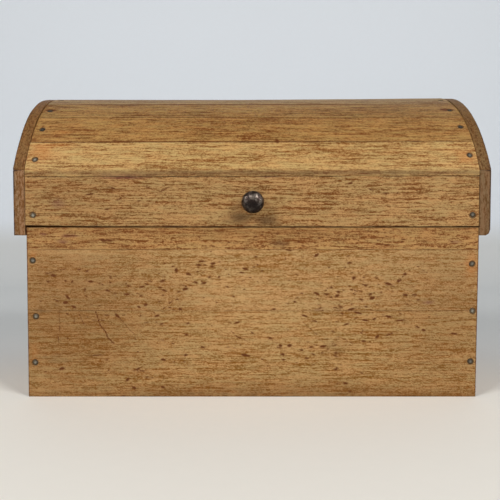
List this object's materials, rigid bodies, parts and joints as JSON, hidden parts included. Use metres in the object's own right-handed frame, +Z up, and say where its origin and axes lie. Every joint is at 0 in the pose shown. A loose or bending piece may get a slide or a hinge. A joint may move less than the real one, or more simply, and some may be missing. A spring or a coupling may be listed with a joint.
{
  "type": "blanket chest",
  "caption": "Dome-topped nailed oak chest with a staved lid that hinges at the back, overhanging lid ends, plain board sides and a round dark knob at the front.",
  "frame": {"origin": "on the floor plane under the middle of the base: midway between its ends and between its front and back", "axes": "+X along the width to the viewer's right, +Y from the front to the back, +Z up"},
  "size_m": [0.633, 0.4263, 0.4348],
  "materials": {
    "oak_case": "satin",
    "oak_lid": "satin",
    "oak_lip": "satin",
    "oak_lid_end": "matt",
    "oak_bottom": "matt",
    "nail_iron": "dull, rusted",
    "hinge_iron": "dull",
    "bright_steel": "worn",
    "knob_metal": "dark, polished by use"
  },
  "bodies": {
    "base": {"back_board_bottom": "oak_case", "back_board_top": "oak_case", "base_back_nails": "nail_iron", "base_front_nails": "nail_iron", "bottom_board_back": "oak_bottom", "bottom_board_front": "oak_bottom", "bottom_board_middle": "oak_bottom", "bottom_nails": "nail_iron", "front_board_bottom": "oak_case", "front_board_middle": "oak_case", "front_board_top": "oak_case", "left_end_board_bottom": "oak_case", "left_end_board_top": "oak_case", "left_hinge_base_leaf": "hinge_iron", "left_hinge_base_screws": "bright_steel", "left_hinge_pin": "hinge_iron", "right_end_board_bottom": "oak_case", "right_end_board_top": "oak_case", "right_hinge_base_leaf": "hinge_iron", "right_hinge_base_screws": "bright_steel", "right_hinge_pin": "hinge_iron"},
    "lid": {"knob": "knob_metal", "knob_nut": "bright_steel", "knob_shank": "bright_steel", "knob_washer": "bright_steel", "left_hinge_lid_leaf": "hinge_iron", "left_hinge_lid_screws": "bright_steel", "left_lid_end_bottom": "oak_lid_end", "left_lid_end_top": "oak_lid_end", "left_lip_bottom": "oak_lip", "left_lip_nails": "nail_iron", "left_lip_top": "oak_lip", "lid_back_board": "oak_lid", "lid_back_nails": "nail_iron", "lid_front_board": "oak_lid", "lid_front_nails": "nail_iron", "right_hinge_lid_leaf": "hinge_iron", "right_hinge_lid_screws": "bright_steel", "right_lid_end_bottom": "oak_lid_end", "right_lid_end_top": "oak_lid_end", "right_lip_bottom": "oak_lip", "right_lip_nails": "nail_iron", "right_lip_top": "oak_lip", "stave_1": "oak_lid", "stave_2": "oak_lid", "stave_3": "oak_lid", "stave_4": "oak_lid", "stave_5": "oak_lid", "stave_6": "oak_lid", "stave_7": "oak_lid", "stave_8": "oak_lid", "stave_9": "oak_lid"}
  },
  "joints": [
    {"name": "lid_hinge", "type": "hinge", "parent": "base", "child": "lid", "pos_m": [0, 0.197, 0.2275], "axis": [-1, 0, 0], "range_deg": [0, 100]}
  ]
}
